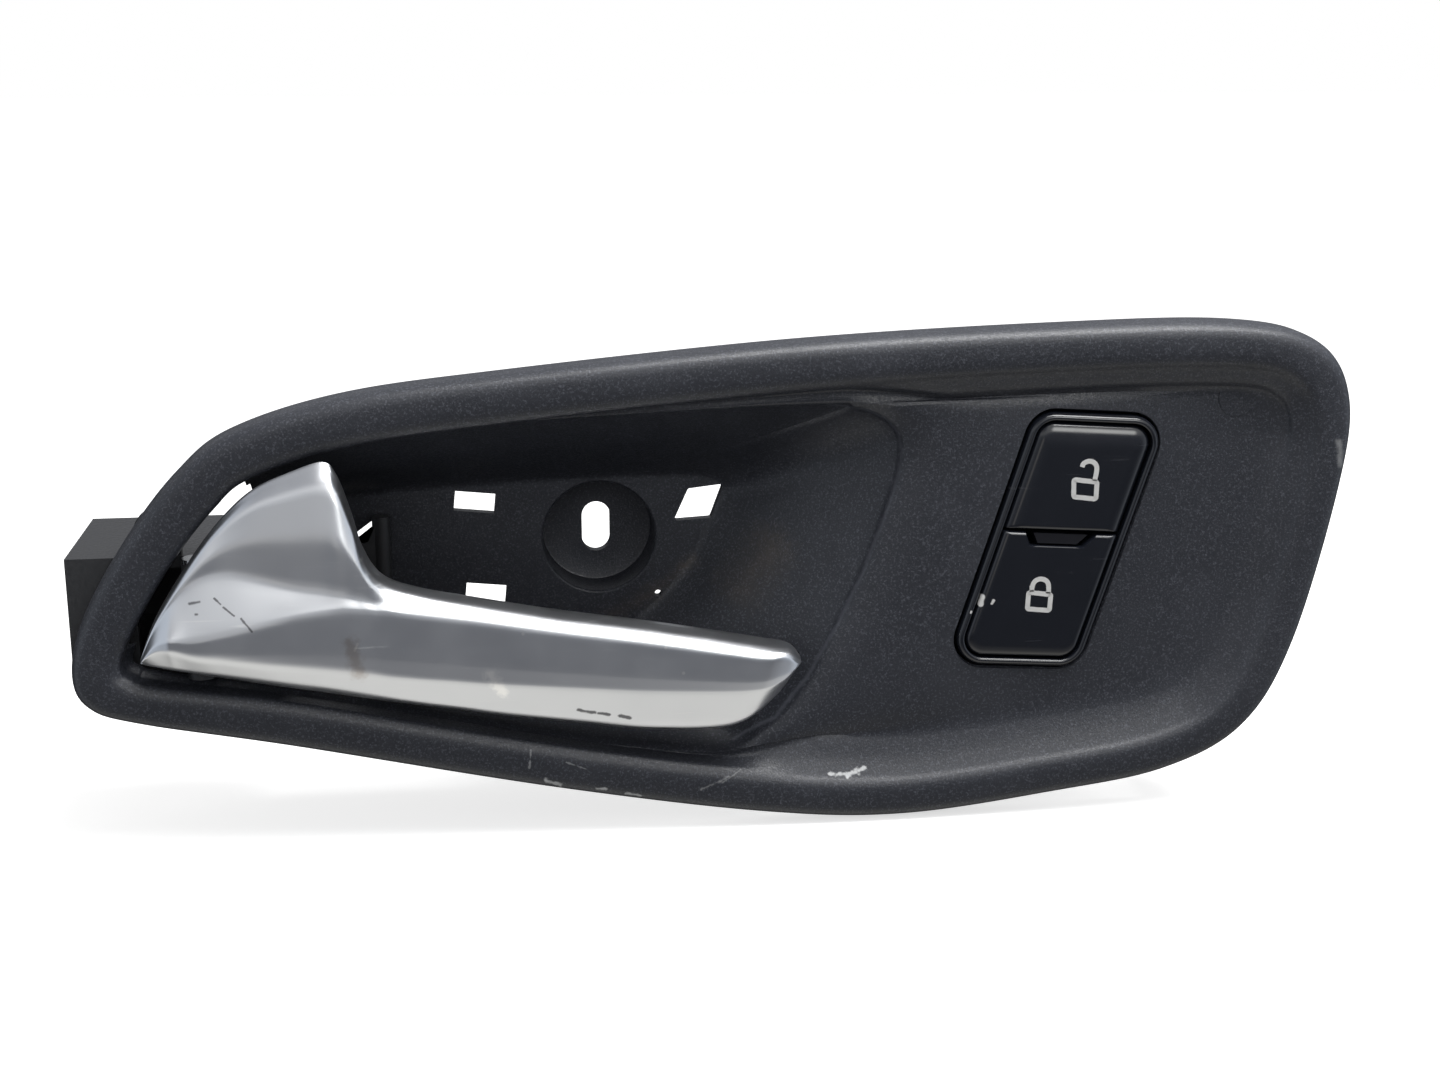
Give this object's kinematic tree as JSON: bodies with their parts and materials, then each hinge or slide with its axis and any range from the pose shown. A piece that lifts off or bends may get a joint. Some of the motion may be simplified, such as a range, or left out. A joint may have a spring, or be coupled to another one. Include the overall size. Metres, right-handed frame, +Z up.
{
  "type": "car interior door handle",
  "caption": "Interior door release for a car: black grained bezel with a finger cup, satin chrome pull lever and a two-key lock and unlock switch.",
  "frame": {"origin": "centre of the fixing slot, on the face of the recess floor that the screw head bears on", "axes": "+X along the handle from the hinge to the switch, +Z up the door, -Y out of the door panel into the cabin"},
  "size_m": [0.245, 0.048, 0.0973],
  "materials": {
    "grained_black": "fine grained black polypropylene, worn",
    "black_plastic": "smooth black nylon",
    "satin_chrome": "satin chrome plate with light scratches",
    "gloss_black": "polished black",
    "smoked_lens": "smoked translucent window",
    "screw_steel": "zinc plated",
    "pin_steel": "bright drawn",
    "spring_steel": "oiled spring steel",
    "natural_nylon": "natural nylon",
    "bumper_rubber": "soft black rubber",
    "board_green": "green solder resist",
    "dome_silicone": "milky silicone rubber",
    "lamp_amber": "clear amber epoxy",
    "contact_brass": "tinned brass"
  },
  "bodies": {
    "housing": {"bezel": "grained_black", "pivot_carrier": "black_plastic", "carrier_screws": "screw_steel", "pivot_pin": "pin_steel", "return_spring": "spring_steel", "rest_bumper": "bumper_rubber", "stop_bumper": "bumper_rubber", "switch_frame": "gloss_black", "indicator_lens": "smoked_lens", "switch_housing": "black_plastic", "switch_board": "board_green", "unlock_dome": "dome_silicone", "lock_dome": "dome_silicone", "indicator_led": "lamp_amber", "connector_pins": "contact_brass", "switch_clips": "spring_steel", "bezel_clips": "spring_steel"},
    "lever": {"lever_cover": "satin_chrome", "lever_core": "black_plastic", "lever_screws": "screw_steel", "pivot_bushes": "natural_nylon"},
    "unlock_key": {"unlock_button": "gloss_black"},
    "lock_key": {"lock_button": "gloss_black"}
  },
  "joints": [
    {"name": "lever_hinge", "type": "hinge", "parent": "housing", "child": "lever", "pos_m": [-0.076, -0.033, 0], "axis": [0, 0, -1], "range_deg": [0, 24], "stiffness_Nm_per_rad": 0.6, "springref_deg": -22.92, "deforming": ["return_spring"]},
    {"name": "unlock_press", "type": "slide", "parent": "housing", "child": "unlock_key", "axis": [0, 1, 0], "range_m": [0, 0.0012], "stiffness_N_per_m": 800, "springref_m": -0.001, "deforming": ["unlock_dome"]},
    {"name": "lock_press", "type": "slide", "parent": "housing", "child": "lock_key", "axis": [0, 1, 0], "range_m": [0, 0.0012], "stiffness_N_per_m": 800, "springref_m": -0.001, "deforming": ["lock_dome"]}
  ]
}
